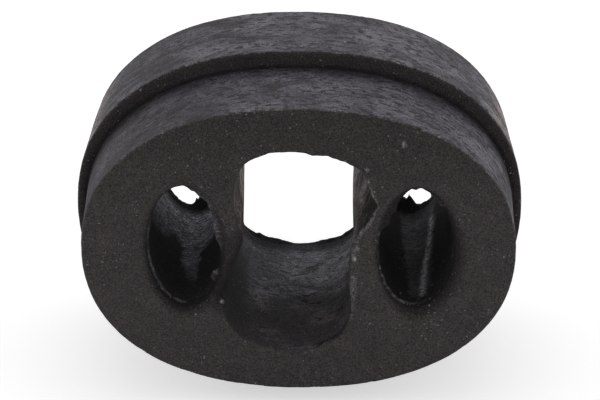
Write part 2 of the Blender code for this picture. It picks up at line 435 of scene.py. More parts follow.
# %% Draw out the lips and flaps
LIP_THICKNESS = 0.25
CURL = 0.35
MOST_CURLED = 0.8
NEAR_LEFT_FLAPS = ((-180, 0.25), (-150, 0.3), (-100, 0.25), (-60, 0.0), (-38, 0.1), (-33, 1.0),
                   (-27, 1.2), (-21, 0.2), (-11, 0.4), (2, 0.85), (18, 1.25), (30, 0.8), (48, 0.6),
                   (60, 0.8), (78, 0.65), (92, 0.1), (130, 0.05), (180, 0.25))
NEAR_RIGHT_FLAPS = ((-180, 0.25), (-140, 0.3), (-95, 0.3), (-60, 0.1), (30, 0.15), (47, 0.55),
                    (56, 0.25), (63, 0.65), (70, 0.3), (85, 0.15), (92, 0.45), (98, 0.1),
                    (118, 0.5), (135, 1.2), (152, 1.2), (160, 0.4), (180, 0.25))
flap_reach = np.zeros(len(points))
for centre, table, seed in ((LEFT_HOLE, NEAR_LEFT_FLAPS, 15), (RIGHT_HOLE, NEAR_RIGHT_FLAPS, 17)):
    away, angle, way = round_hole(points, centre)
    lip_start = mouth_radius(angle, centre) + LIP_THICKNESS
    lip_end = lip_start + LIP_THICKNESS
    reach, way = draw_out(points, centre, table, lip_start, lip_end, LIP_THICKNESS, seed)
    points = points + way * reach[:, None]
    points[:, 1] -= CURL * np.minimum(reach, MOST_CURLED)
    flap_reach = np.maximum(flap_reach, reach)
print("longest flap, mm:", round(float(flap_reach.max()), 2))

# %% [markdown]
# A rough bead runs along the right hole's wall, where the two halves of its core pin met. A
# thin rod could be laid there. The wall is raised along a slanting line instead, to a ridge
# roughened with noise, so that its foot runs smoothly into the wall.

# %% Raise the bead in the right hole
BEAD_HEIGHT = 0.36
BEAD_HALF_WIDTH = 0.75
BEAD_LINE = ((4.0, -76.0), (8.0, -74.0), (13.0, -70.0), (18.0, -63.0), (26.0, -54.0))

away, angle, way = round_hole(points, RIGHT_HOLE)
bead_angle = read_off(points[:, 1], BEAD_LINE)
off_bead = np.radians(angle - bead_angle) * np.hypot(points[:, 0] - RIGHT_HOLE, points[:, 2])
beside_wall = ramp(np.abs(away), 0.8, 0.3)
bead = np.exp(-(off_bead / BEAD_HALF_WIDTH) ** 2) * beside_wall * ramp(points[:, 1], 29.0, 26.0)
rough = 0.45 + 0.55 * grain(points * (1.0, 2.5, 1.0), 0.6, 21)
points = points + way * (BEAD_HEIGHT * rough * bead)[:, None]
print("bead, mm:", BEAD_HEIGHT)

# %% [markdown]
# ## The waisted opening
#
# Its top rim hangs ragged at the front, its far bottom rim carries a thin lip of flash, and the
# corners of both webs are worn: the left one slopes back into the opening, the right one is
# torn back to a point. All of these are measured from the wall beside the rim. It could be
# written down from the drawing. We read it off the points just behind the rim, put in order,
# so that it is always where the solid has it.

# %% Find the rim
def wall_line(chosen, along, across_it):
    """The wall's place as a function of another measure, from the chosen points of the wall."""
    order = np.argsort(along[chosen])
    steps = np.linspace(along[chosen].min(), along[chosen].max(), 60)
    line = np.interp(steps, along[chosen][order], across_it[chosen][order])
    return lambda value: np.interp(value, steps, line)


x, depth, z = points.T
in_opening = (np.abs(x) < 13.0) & (np.abs(z) < 19.5) & (np.abs(outward[:, 1]) < 0.3)
top_wall = wall_line(in_opening & (outward[:, 2] < -0.5) & (depth > 1.0) & (depth < 2.0), x, z)
far_floor = wall_line(in_opening & (outward[:, 2] > 0.5) & (depth > 31.5) & (depth < 33.0), x, z)
near_front = in_opening & (depth > 3.0) & (depth < 4.0)
left_wall = wall_line(near_front & (outward[:, 0] > 0.5) & (x < 0), z, x)
right_wall = wall_line(near_front & (outward[:, 0] < -0.5) & (x > 0), z, x)
print("rim at the middle, mm: top", round(float(top_wall(0)), 1),
      "far floor", round(float(far_floor(0)), 1))

# %% [markdown]
# The skin that hung over the top rim and the lip at the far end of the floor are both flash, so
# both are drawn out of the wall by a table of heights, made ragged with noise.

# %% Let the top rim hang and draw out the far lip
TOP_SAG = ((-11.0, -0.3), (-9.0, -0.1), (-6.5, 0.15), (-4.5, 0.05), (0.0, 0.15), (2.2, 0.55),
           (5.5, 0.55), (8.4, 0.85), (10.5, 0.2), (11.0, 0.0))
FAR_LIP = ((-10.5, -0.3), (-9.9, -0.3), (-9.3, 0.2), (-8.4, 0.5), (-7.0, 0.9), (-4.3, 0.75),
           (-1.0, 0.15), (1.5, 0.15), (4.0, 0.5), (7.5, 0.75), (10.0, 0.3))

rag = 1.0 + 0.35 * grain(points, 0.9, 23) + 0.25 * grain(points, 2.0, 24)
above = z - top_wall(x)
hang = read_off(x, TOP_SAG) * rag * ramp(above, 2.0, 0.5) * ramp(above, -1.5, -0.5)
hang *= ramp(depth, 2.5, 0.5) * (np.abs(x) < 11.0)
below = far_floor(x) - z
lip = read_off(x, FAR_LIP) * rag * ramp(below, 1.5, 0.4) * ramp(below, -1.2, -0.4)
lip *= ramp(depth, BLOCK_DEPTH - 0.8, BLOCK_DEPTH - 0.4) * (np.abs(x) < 10.5)
points[:, 2] += lip - hang
print("hang and lip, mm:", round(float(hang.max()), 2), round(float(lip.max()), 2))

# %% [markdown]
# The left web's lower corner is worn. It leans back from the opening there, and its edge is
# round. We push the web's skin aside, most at the front, and then pull the points near the
# edge onto a quarter circle.

# %% Slope the left web back and rub its corner round
SLOPE = 2.0
SLOPE_DEPTH = 9.0
LEAST_WEB = 1.2
RUB_RADIUS = 3.0
LEAST_BESIDE_RUB = 0.6

x, depth, z = points.T
worn_height = ramp(z, -10.5, -7.5) * ramp(z, 1.5, -3.0)
side_wall = LEFT_HOLE + HOLE_HALF_WIDTH * np.sqrt(
    np.clip(1.0 - ((z - HOLE_HEIGHT) / HOLE_HALF_HEIGHT) ** 2, 0.0, 1.0))
web = np.maximum(left_wall(z) - side_wall, 1.0)
share = np.clip((x - side_wall) / web, 0.0, 1.3)
on_web = (x < 0) & (x > side_wall) & (share < 1.3)
towards_front = np.clip(1.0 - depth / SLOPE_DEPTH, 0.0, 1.0) ** 2
back_off = np.minimum(SLOPE, web - LEAST_WEB) * worn_height * towards_front
points[:, 0] -= np.where(on_web, back_off * share, 0.0)

x = points[:, 0]
wall_now = left_wall(z) - back_off
radius = np.minimum(RUB_RADIUS, web - LEAST_BESIDE_RUB) * worn_height + 1e-3
into_rubber = np.maximum(wall_now - x, 0.0)
near = on_web & (into_rubber < radius) & (depth < radius)
distance = np.maximum(np.hypot(radius - into_rubber, radius - depth), 1e-6)
pull = np.where(near & (distance > radius), radius / distance, 1.0)
points[:, 0] = np.where(near, wall_now - (radius - (radius - into_rubber) * pull), x)
points[:, 1] = np.where(near, radius - (radius - depth) * pull, depth)
print("points rubbed:", int((pull < 1.0).sum()))

# %% [markdown]
# The right web bulges into the opening low down. Above that its corner was torn off, which
# leaves a pit with a crumbly floor and a sharp rim that comes to a point. Tables by height say
# how far the skin moves. Further back the whole wall leans in by less than half a millimetre.

# %% Swell the right web's corner and tear it back above
SWELLING = ((-9.0, 0.0), (-6.5, 0.4), (-2.0, 0.75), (1.0, 0.5), (3.0, 0.0))
TEAR = ((2.0, 0.0), (5.4, 0.75), (8.2, 1.25), (9.0, 0.9), (11.8, 0.0))
TEAR_DEPTH = 9.0
TEAR_ROUGHNESS = 0.35
FAR_LEAN = 0.45

x, depth, z = points.T
beyond = x - right_wall(z)
swelling = read_off(z, SWELLING) * ramp(depth, 6.0, 1.0) * ramp(beyond, 2.5, 0.3) * (beyond > -2.0)
in_tear = ramp(depth, TEAR_DEPTH, 0.5) * ramp(beyond, 3.2, 0.6) * ramp(beyond, -2.0, -0.5) * (x > 0)
torn_back = read_off(z, TEAR) * in_tear
crumble = TEAR_ROUGHNESS * (grain(points, 1.3, 31) + 0.6 * grain(points, 0.6, 32))
crumble *= ramp(torn_back, 0.05, 0.5) * ramp(beyond, 0.8, 0.2)
far_lean = (FAR_LEAN * ramp(z, -11.0, -4.0) * ramp(z, 12.0, 4.0) * ramp(depth, 10.0, 25.0)
            * ramp(beyond, 2.5, 0.3) * (beyond > -3.0))
points[:, 0] += torn_back + crumble - (swelling + far_lean) * (x > 0)
print("torn back, mm:", round(float(torn_back.max()), 2))

# %% [markdown]
# The opening's floor has a small oval blister that sank round its edge, a fainter one behind it,
# and short cracks where the core scraped over it. They could be cut in one by one. Moving the
# floor's points by the distance from each mark keeps the skin whole. A blister is given by its
# place, its two half sizes and its strength, a crack by its two ends.

# %% Sink the blisters and open the cracks
BLISTER_RING = 0.24
BLISTER_CAP = 0.14
BLISTERS = ((1.0, 15.7, 0.85, 0.9, 1.0), (1.1, 18.6, 0.9, 0.8, 0.6))
CRACK_DEPTH = 0.26
CRACKS = ((2.6, 9.4, 4.4, 8.6), (6.4, 9.2, 8.4, 8.2), (7.0, 11.6, 8.3, 11.0),
          (1.9, 14.4, 3.9, 13.6), (-2.6, 22.4, -1.6, 22.0), (5.6, 13.2, 7.0, 13.4))

x, depth, z = points.T
on_floor = in_opening & (outward[:, 2] > 0.6) & (z < -8.0)
for place_x, place_depth, half_x, half_depth, strength in BLISTERS:
    reach = np.hypot((x - place_x) / half_x, (depth - place_depth) / half_depth)
    ring = BLISTER_RING * np.exp(-((reach - 1.0) / 0.35) ** 2)
    cap = BLISTER_CAP * ramp(reach, 0.8, 0.2)
    points[:, 2] += strength * (cap - ring) * on_floor
for start_x, start_depth, end_x, end_depth in CRACKS:
    along = np.array((end_x - start_x, end_depth - start_depth))
    share = ((x - start_x) * along[0] + (depth - start_depth) * along[1]) / (along @ along)
    off = ((x - start_x) * along[1] - (depth - start_depth) * along[0]) / np.hypot(*along)
    off = np.abs(off + 0.3 * grain(points, 0.8, 41))
    crack = CRACK_DEPTH * ramp(off, 0.3, 0.1) * ramp(np.abs(share - 0.5), 0.6, 0.3)
    points[:, 2] -= crack * on_floor
write_points(block.data, points)
print("blisters:", len(BLISTERS), "cracks:", len(CRACKS))

# %% [markdown]
# ## Where each finish goes
#
# The shader has to know which skin it is on, so six measures are kept with the points: one for
# the greyish wax of skin that was drawn along polished steel, one for darker rubber, dirt and
# smudges and for shade and shadows painted into the colour, one for dull, browner skin, one for
# pale thin lips, flash, dust and crumbs and for highlights painted along lips and rims, one for
# the raw torn corner, and one for bloom scraped into bright strokes. They could be painted by
# hand. Rules are used instead, so that each says what it stands for: their numbers are
# millimetres, or shares from 0 to 1. All of them use two noises and a few regions.

# %% Find the regions
FRONT_HALF = (35.0, 25.65)
REAR_HALF = (36.7, 28.4)
FRONT_SQUARENESS = 2.21
OUTER_SKIN = 0.86
LEDGE_DEPTH = 15.5

x, depth, z = points.T
cloudy = grain(points, 2.4, 51)
crumbly = grain(points, 0.5, 52)
flat = ramp(np.abs(outward[:, 1]), 0.45, 0.75)
outer = ramp(np.hypot(x / REAR_HALF[0], z / REAR_HALF[1]), OUTER_SKIN - 0.03, OUTER_SKIN)
front_reach = (np.abs(x / FRONT_HALF[0]) ** FRONT_SQUARENESS
               + np.abs(z / FRONT_HALF[1]) ** FRONT_SQUARENESS) ** (1 / FRONT_SQUARENESS)
on_wall = in_opening & (depth > 0.4)
floor_part = on_wall * ramp(outward[:, 2], 0.0, 0.5)
print("share of flat skin:", round(float(flat.mean()), 2), "outer:", round(float(outer.mean()), 2))

# %% [markdown]
# ### Both steps
#
# The oval bands slid out of the mould along polished steel, so wax blooms on them. Every edge
# between a flat face and a bloomed band goes through raw rubber. The corner under the ledge has
# no bloom. The ledge's shadow is painted in: over the band in front of it and as a dark line in
# that corner. Painted shade also darkens the ledge's own face and the front face towards its top.
# The left half has less bloom, and the ends of the wide band are warmer.

# %% Colour both steps
LEDGE_PAINTED_SHADOW = 0.75
LEDGE_FACE_PAINTED_SHADE = 0.28
FACE_TOP_PAINTED_SHADE = 0.20
FRONT_BLOOM_LOSS = 0.50
REAR_BLOOM_LOSS = 0.35
WARM_END_BROWN = 0.45

# The corner under the ledge has no bloom and gets a painted shadow line.
under_ledge = ramp(np.abs(front_reach - 1.0), 0.03, 0.01)
under_ledge *= ramp(np.abs(depth - LEDGE_DEPTH), 0.7, 0.25)
upper_half = ramp(z, -24.0, 2.0)
bloom_loss = np.where(depth < 15.0, FRONT_BLOOM_LOSS, REAR_BLOOM_LOSS)
bloom = outer * np.clip(1.0 - 2.0 * flat, 0.0, 1.0) * (1.0 - under_ledge)
bloom *= 1.0 - bloom_loss * ramp(x, -8.0, -24.0) * upper_half

# The ledge's shadow on the band in front of it is painted, fading over five and a half mm.
near_ledge = ramp(depth, LEDGE_DEPTH - 5.5, LEDGE_DEPTH) * (depth < 15.8)
dark_marks_and_painted_shade = LEDGE_PAINTED_SHADOW * outer * (1.0 - flat) * near_ledge
# Painted shade on the ledge's own face, which gets less light.
dark_marks_and_painted_shade = np.maximum(dark_marks_and_painted_shade, LEDGE_FACE_PAINTED_SHADE * outer * flat * (depth > 14.0) * (depth < 17.0))
# Painted shade darkens the front face towards its top, where less light reaches.
dark_marks_and_painted_shade = np.maximum(dark_marks_and_painted_shade, FACE_TOP_PAINTED_SHADE * flat * (depth < 5.0) * ramp(z, 4.0, 24.0))
dark_marks_and_painted_shade = np.maximum(dark_marks_and_painted_shade, LEDGE_PAINTED_SHADOW * under_ledge)

warm_end = outer * (1.0 - flat) * ramp(np.abs(x), 29.5, 34.0) * upper_half
warm_end *= depth > LEDGE_DEPTH + 0.5
bloom = np.maximum(bloom, warm_end)
brown = np.maximum(np.clip(2.0 * flat - 1.0, 0.0, 1.0), WARM_END_BROWN * warm_end)
print("share of bloomed skin:", round(float((bloom > 0.5).mean()), 2))

# %% [markdown]
# ### The floor of the middle opening
#
# The core left the floor bloomed from the middle of its depth to the far lip, in broad clouds,
# with one patch more at the left. Nearer the front it is duller and a little browner, and painted
# shade darkens it there, where less light reaches into the opening. A painted shadow lies along
# the far lip, and the floor is darker right behind the rim at the right. Only the far part is
# scratched.

# %% Colour the floor
LEFT_PATCH_BLOOM = 0.6
LEAST_BLOOM = 0.12
BROAD_CLOUD_BLOOM = 0.25
NEAR_FLOOR_PAINTED_SHADE = 0.10
FAR_LIP_PAINTED_SHADOW = 0.32
NEAR_FLOOR_BROWN = 0.15
BEHIND_RIM_SHADE = 0.6
FLOOR_SCRATCHES = 0.30

broad = grain(points, 4.5, 54)
far_bloom = ramp(depth + 2.5 * broad + cloudy + 0.2 * x, 14.0, 20.0) * ramp(depth, 32.4, 29.8)
far_bloom *= 1.0 - 0.55 * ramp(x + broad, 0.0, -4.0) * ramp(depth, 19.0, 23.0)
left_patch = ramp(x, -3.5, -6.0) * ramp(depth + cloudy, 10.0, 13.0) * ramp(depth, 23.0, 18.0)
far_bloom = np.maximum(far_bloom, LEFT_PATCH_BLOOM * left_patch)
clouds_here = ramp(broad, -0.2, 0.5) * ramp(depth, 22.0, 16.0)
floor_bloom = LEAST_BLOOM + BROAD_CLOUD_BLOOM * clouds_here + (1.0 - LEAST_BLOOM) * far_bloom
floor_bloom *= np.maximum(ramp(x + 0.4 * cloudy, -9.6, -7.9), ramp(depth, 22.0, 30.0))
bloom = np.where(on_wall, floor_part * floor_bloom, bloom)
scratched = FLOOR_SCRATCHES * floor_part * floor_bloom * ramp(depth, 16.0, 22.0)

# Painted shade towards the front of the floor, and a painted shadow along the far lip.
floor_painted_shade = NEAR_FLOOR_PAINTED_SHADE * ramp(depth, 18.0, 6.0) + FAR_LIP_PAINTED_SHADOW * ramp(depth, 29.5, 32.0)
dark_marks_and_painted_shade = np.maximum(dark_marks_and_painted_shade, floor_part * floor_painted_shade)
brown = np.maximum(brown, NEAR_FLOOR_BROWN * floor_part * ramp(depth, 20.0, 12.0))
# The floor is darker right behind the near rim at the right.
behind_rim = floor_part * ramp(depth, 0.3, 0.7) * ramp(depth, 2.2, 1.3)
behind_rim *= ramp(x, 1.5, 4.0) * ramp(x + cloudy, 10.0, 8.5)
dark_marks_and_painted_shade = np.maximum(dark_marks_and_painted_shade, BEHIND_RIM_SHADE * behind_rim)
print("brightest bloom on the floor:", round(float(floor_bloom[floor_part > 0.5].max()), 2))

# %% [markdown]
# ### The side walls of the middle opening
#
# Above the floor both side walls carry a dull, pinkish bloom that grows paler towards the back,
# most on the left one. The worn lower corner of the left web has lost its bloom and is dark.

# %% Colour the side walls and the left web
LEFT_WALL_PALE = 0.77
RIGHT_WALL_PALE = 0.55
WORN_SHADE = 0.42
WORN_BROWN = 0.4

side_walls = on_wall * ramp(np.abs(outward[:, 0]), 0.6, 0.9) * ramp(z, -2.0, 1.0)
bloom = np.maximum(bloom, side_walls * (0.4 + 0.6 * ramp(depth + 2.0 * cloudy, 8.0, 22.0)))
brown = np.maximum(brown, side_walls)
wall_pale = np.where(x < 0, LEFT_WALL_PALE, RIGHT_WALL_PALE)
pale_marks_and_highlights = side_walls * wall_pale * ramp(depth + cloudy, 16.0, 32.0)

on_left_web = ramp(x, -15.5, -13.0) * ramp(x, -7.2, -8.6) * ramp(depth, 11.0, 6.0)
on_left_web *= ramp(z, -12.5, -9.5) * ramp(z, 4.5, 1.5)
bloom *= 1.0 - on_left_web
brown = np.maximum(brown, WORN_BROWN * on_left_web)
dark_marks_and_painted_shade = np.maximum(dark_marks_and_painted_shade, WORN_SHADE * on_left_web)
print("points on the worn web:", int((on_left_web > 0.5).sum()))

# %% [markdown]
# ### The side holes
#
# The core pins dragged on one side as they were pulled, so the bloom starts at another depth all
# round each hole. It is scraped into strokes and is brightest at the far end, partly as painted
# light that comes in through the far opening. The bare wall is dark. The face round each mouth
# is darker, widest low down, and the lip in the mouth is pale in places, partly from its flash
# and partly as a painted highlight. Tables by angle say where, and each hole has its own row of
# strengths.

# %% Colour both side holes
LEFT_BLOOM = ((-180, 8), (-146, 17), (-120, 21), (-108, 20), (-101, 14), (-91, 10), (-80, 8),
              (-77, 10), (-73, 18), (-50, 20), (-25, 13), (0, 9), (60, 9), (120, 9), (180, 8))
RIGHT_BLOOM = ((-180, 33), (-106, 31), (-100, 16), (-96, 4), (-62, 4), (-54, 22), (-47, 32),
               (180, 33))
LEFT_LIP_PALE_AND_HIGHLIGHT = ((-180, 0.5), (-100, 0.7), (-90, 0.2), (-40, 0.0), (35, 0.0), (45, 0.5), (72, 0.5),
            (85, 0.0), (140, 0.0), (165, 0.5), (180, 0.5))
RIGHT_LIP_PALE_AND_HIGHLIGHT = ((-180, 0.2), (-150, 0.6), (-100, 0.7), (-85, 0.3), (-70, 0.0), (160, 0.0),
             (180, 0.2))
MOST_SHADE = 0.9
LIP_WIDTH = 0.12
LIP_PALE_AND_HIGHLIGHT = 0.30
LEAST_HALO = 0.30

for centre, start_depth, lip_light, bare_shade, shine, near_shine, halo_angle, halo_width in (
        (LEFT_HOLE, LEFT_BLOOM, LEFT_LIP_PALE_AND_HIGHLIGHT, 0.32, 1.0, 0.6, 70.0, 1.5),
        (RIGHT_HOLE, RIGHT_BLOOM, RIGHT_LIP_PALE_AND_HIGHLIGHT, 0.48, 0.40, 0.34, 45.0, 2.2)):
    away, angle, way = round_hole(points, centre)
    mouth = mouth_radius(angle, centre)
    hole_skin = ramp(away, 1.0, 0.5) * ramp(depth, 0.3 * mouth, mouth)
    hole_skin *= 1.0 - flat * (depth < 5.0)
    in_hole = hole_skin > 0.02
    bloomed = ramp(depth + 1.5 * cloudy - read_off(angle + 5.0 * crumbly, start_depth), -1.0, 2.5)
    bloomed *= ramp(depth, 33.0, 30.5)
    # The bloom grows brighter towards the far end, partly as painted light from the far opening.
    bloom_and_painted_light = np.interp(depth, (8.0, 24.0), (near_shine, shine))
    bloom = np.where(in_hole, hole_skin * bloomed * bloom_and_painted_light, bloom)
    scratched = np.where(in_hole, hole_skin * bloomed * bloom_and_painted_light ** 2, scratched)
    brown *= 1.0 - hole_skin * ramp(depth, 32.0, 30.0)
    dark_skin = bare_shade * (1.0 - 0.8 * bloomed) * ramp(depth, 33.0, 31.5)
    dark_marks_and_painted_shade = np.where(in_hole, hole_skin * np.minimum(dark_skin, MOST_SHADE), dark_marks_and_painted_shade)
    # The face round each mouth is darker, widest low down.
    low_side = ramp(np.cos(np.radians(angle + halo_angle)), -0.3, 0.9)
    halo = ramp(away, 0.9 + halo_width * low_side, 0.1) * ramp(depth, mouth + 1.5, mouth + 0.3)
    dark_marks_and_painted_shade = np.maximum(dark_marks_and_painted_shade, LEAST_HALO * (1.0 + low_side) * halo * (away > -0.8))
    # A pale line along the lip: partly pale flash, partly a painted highlight.
    lip = np.exp(-((depth - mouth - 0.1) / LIP_WIDTH) ** 2) * ramp(np.abs(away), 0.9, 0.5)
    lip *= read_off(angle, lip_light) * ramp(crumbly + 0.6 * cloudy, -0.7, 0.6)
    pale_marks_and_highlights = np.maximum(pale_marks_and_highlights, LIP_PALE_AND_HIGHLIGHT * lip)
print("points in the right hole's finish:", int(in_hole.sum()))

# %% [markdown]
# ### The bead and the flaps
#
# The pin scraped the bead's top into pale strokes, broken up along its length. Flaps and lips
# are thin and dusty, so they are a little brown, and they are pale partly from dust and partly
# as painted highlights where they catch the light. The flap at the right hole's upper left hangs
# in shade, so it gets no painted highlight and painted shade darkens it.

# %% Colour the bead and the flaps
BEAD_SCRATCHES = 1.3
FLAP_BROWN = 0.5
FLAP_DUST_AND_HIGHLIGHT = 0.20
LEAST_FLAP_SHADE = 0.05
SHADED_FLAP_PAINTED_SHADE = 0.5

bead_light = bead * ramp(grain(points * (0.5, 2.5, 0.5), 0.6, 53), -0.9, 0.2)
bead_light *= ramp(depth, 3.0, 5.0) * (0.8 + 0.4 * ramp(depth, 6.0, 16.0))
pale_marks_and_highlights = np.maximum(pale_marks_and_highlights, bead_light)
scratched = np.maximum(scratched, BEAD_SCRATCHES * bead * ramp(depth, 3.0, 6.0))

# This flap hangs in shade: it gets painted shade and no painted highlight.
shaded_flap = ramp(x, 17.5, 16.5) * (x > 0.0) * ramp(z, 3.0, 5.0)
on_flap = ramp(flap_reach, 0.35, 0.7)
brown = np.maximum(brown, FLAP_BROWN * on_flap)
# Flaps are pale partly from dust and partly as painted highlights where they catch the light.
pale_marks_and_highlights = np.maximum(pale_marks_and_highlights, FLAP_DUST_AND_HIGHLIGHT * on_flap * (1.0 - shaded_flap) * ramp(crumbly, -0.7, 0.7))
flap_shade = LEAST_FLAP_SHADE + SHADED_FLAP_PAINTED_SHADE * shaded_flap
dark_marks_and_painted_shade = dark_marks_and_painted_shade * (1.0 - on_flap) + flap_shade * on_flap
print("points on flaps:", int((on_flap > 0.5).sum()))

# %% [markdown]
# ### The torn corner and the rims
#
# Inside the torn corner the rubber is raw, with a few pale crumbs, and patches of painted shade
# stand for its hollows. The sharp rims of the right web and of the front face are pale here and
# there, and a broken painted highlight runs along the opening's lower front rim, wherever a
# crumbly noise is high.

# %% Colour the torn corner and the rims
CRUMB_PALE = 0.35
HOLLOW_PAINTED_SHADE = 0.45
WEB_EDGE_PALE = 0.22
LOW_WEB_EDGE_LOSS = 0.10
RIM_HIGHLIGHT = 0.14
FACE_EDGE_PALE = 0.25

torn = ramp(x - right_wall(z), -2.2, -0.8) * ramp(depth, TEAR_DEPTH + 1.0, 1.0)
torn *= ramp(z, 1.5, 3.5) * ramp(z, 13.5, 10.5) * (x > 7.0) * ramp(x, 13.2, 12.5) * (1.0 - flat)
pale_marks_and_highlights = np.maximum(pale_marks_and_highlights, CRUMB_PALE * torn * ramp(crumbly + 0.8 * cloudy, 0.4, 0.8))
# Patches of painted shade stand for the torn corner's hollows.
dark_marks_and_painted_shade = np.maximum(dark_marks_and_painted_shade, HOLLOW_PAINTED_SHADE * torn * ramp(cloudy + 0.5 * crumbly, 0.3, -0.3))

# The rims of the right web and of the front face are pale here and there.
web_edge = ramp(depth, 0.9, 0.3) * ramp(z, -14.0, -11.0) * ramp(z, 14.0, 11.0) * (x > 5.0)
web_edge *= ramp(np.abs(x - right_wall(z) - torn_back), 0.6, 0.2)
web_edge *= WEB_EDGE_PALE - LOW_WEB_EDGE_LOSS * ramp(z, 1.0, -1.0)
pale_marks_and_highlights = np.maximum(pale_marks_and_highlights, web_edge * ramp(crumbly + 0.9 * cloudy, -0.5, 0.6))
# A broken painted highlight along the opening's lower front rim.
rim_highlight = ramp(depth, 0.7, 0.2) * in_opening * ramp(z, -13.0, -15.0)
pale_marks_and_highlights = np.maximum(pale_marks_and_highlights, RIM_HIGHLIGHT * rim_highlight * ramp(crumbly + cloudy, -0.2, 0.6))
face_edge = outer * ramp(depth, 1.0, 0.3) * (1.0 - flat) * ramp(z, -6.0, 2.0)
pale_marks_and_highlights = np.maximum(pale_marks_and_highlights, FACE_EDGE_PALE * face_edge * ramp(crumbly + 0.8 * cloudy, 0.5, 1.1))
print("points in the tear:", int((torn > 0.5).sum()))

# %% [markdown]
# ### Crumbs and smudges
#
# A few crumbs of dust and dark smudges lie at listed places, each with its place across, its
# height as it looks and its radius. In the slanting view a deeper point looks higher, and that
# is added to its height.

# %% Scatter crumbs and smudges
CRUMBS = ((16.5, 19.6, 0.30), (9.4, 1.0, 0.35), (9.5, 0.1, 0.30), (9.0, -1.0, 0.40),
          (10.7, 15.1, 0.25), (10.8, 13.0, 0.40), (10.5, 11.9, 0.50), (10.7, 12.4, 0.30),
          (10.2, 10.9, 0.45), (10.1, 9.8, 0.45), (-12.3, -9.2, 0.35))
SMUDGES = ((-11.5, 13.3, 0.5), (-11.7, 11.8, 0.45), (10.4, 15.3, 0.3))
CRUMB_STRENGTH = 0.6
SMUDGE_STRENGTH = 0.5
DEEPEST_MARK = 14.0
HEIGHT_PER_DEPTH = 0.53

seen_height = z + HEIGHT_PER_DEPTH * depth
for marks, layer, strength in ((CRUMBS, pale_marks_and_highlights, CRUMB_STRENGTH), (SMUDGES, dark_marks_and_painted_shade, SMUDGE_STRENGTH)):
    for mark_x, mark_z, radius in marks:
        off = np.hypot(x - mark_x, seen_height - mark_z) + 0.12 * crumbly
        mark = strength * ramp(off, radius, 0.5 * radius) * (depth < DEEPEST_MARK)
        np.maximum(layer, mark, out=layer)
print("crumbs:", len(CRUMBS), "smudges:", len(SMUDGES))

# %% [markdown]
# ### Keep the measures with the points
#
# Each measure becomes an attribute of the points. Attributes follow the points when the net is
# thinned out, and they need no flat map of the skin, as a painted picture would.

# %% Store the regions
finishes = {"bloom": bloom, "dark_marks_and_painted_shade": dark_marks_and_painted_shade, "brown": brown, "pale_marks_and_highlights": pale_marks_and_highlights, "torn": torn,
            "scratched": scratched}
for name, values in finishes.items():
    layer = block.data.attributes.new(name, "FLOAT", "POINT")
    layer.data.foreach_set("value", np.clip(values, 0.0, 1.0).astype(np.float32))
print("stored for each point:", list(finishes))

# %% [markdown]
# ## Thin out the net
#
# The even net has far more squares than flat faces need. A collapse decimation keeps the
# corners, the flash and the tears fine and lets the flats go coarse.

# %% Decimate and shade smooth
MOST_TRIANGLES = 190_000


def count_triangles(mesh):
    """How many triangles the faces of a mesh make."""
    return sum(len(face.vertices) - 2 for face in mesh.polygons)


triangles = count_triangles(block.data)
thin_out = block.modifiers.new("thin_out", "DECIMATE")
thin_out.ratio = min(1.0, MOST_TRIANGLES / triangles)
bpy.ops.object.modifier_apply(modifier=thin_out.name)
bpy.ops.object.shade_smooth()
print("triangles:", triangles, "thinned to", count_triangles(block.data))

# %% [markdown]
# ## Moulded black rubber
#
# Natural rubber filled with carbon black, pressed in a steel mould. To the eye it is a tight,
# dark skin with a greyish bloom of wax, in patches and fine streaks that run round the block,
# and duller, browner flat faces with dust in their grain. Photographs of such a skin could be
# laid on it. Noises measured in millimetres stay sharp close up, and those that run round the
# block are squeezed from front to back.

# %% Lay the patterns
CLOUD_SIZE = 8.0
FLECK_SIZE = 1.5
STROKE_SIZE = 1.3
GRAIN_SIZE = 0.26


def per_mm(size):
    """The scale of a pattern whose features are size millimetres wide."""
    return 1.0 / (size * MM)


rubber, tree = new_material("moulded_black_rubber")
region = {name: add_node(tree, "ShaderNodeAttribute", {"attribute_name": name}).outputs["Fac"]
          for name in finishes}
place = add_node(tree, "ShaderNodeTexCoord")
squeezed = add_node(tree, "ShaderNodeMapping", inputs={
    "Vector": place.outputs["Object"], "Scale": (1.0, 1.7, 1.0)})
scraped = add_node(tree, "ShaderNodeMapping", inputs={
    "Vector": place.outputs["Object"], "Scale": (1.0, 2.2, 1.0)})
clouds = add_node(tree, "ShaderNodeTexNoise", inputs={
    "Vector": squeezed.outputs[0], "Scale": per_mm(CLOUD_SIZE), "Detail": 7.0, "Roughness": 0.68,
    "Distortion": 0.5})
flecks = add_node(tree, "ShaderNodeTexNoise", inputs={
    "Vector": scraped.outputs[0], "Scale": per_mm(FLECK_SIZE), "Detail": 3.0, "Roughness": 0.6})
strokes = add_node(tree, "ShaderNodeTexNoise", inputs={
    "Vector": scraped.outputs[0], "Scale": per_mm(STROKE_SIZE), "Detail": 2.0, "Roughness": 0.6})
fine = add_node(tree, "ShaderNodeTexNoise", inputs={
    "Vector": place.outputs["Object"], "Scale": per_mm(GRAIN_SIZE),
    "Detail": 2.0, "Roughness": 0.8})
print("measures read:", len(region))
print("patterns, mm:", CLOUD_SIZE, FLECK_SIZE, STROKE_SIZE, GRAIN_SIZE)

# %% [markdown]
# Wax lies on the rubber in clouds. It is drawn into faint streaks and is missing at worn flecks
# and in small pits, which gather where the clouds are thin. Each of these is a noise turned into
# a share from 0 to 1, and the film is what is left when all shares are multiplied.

# %% Build up the film of wax
PIT_SIZE = 0.9

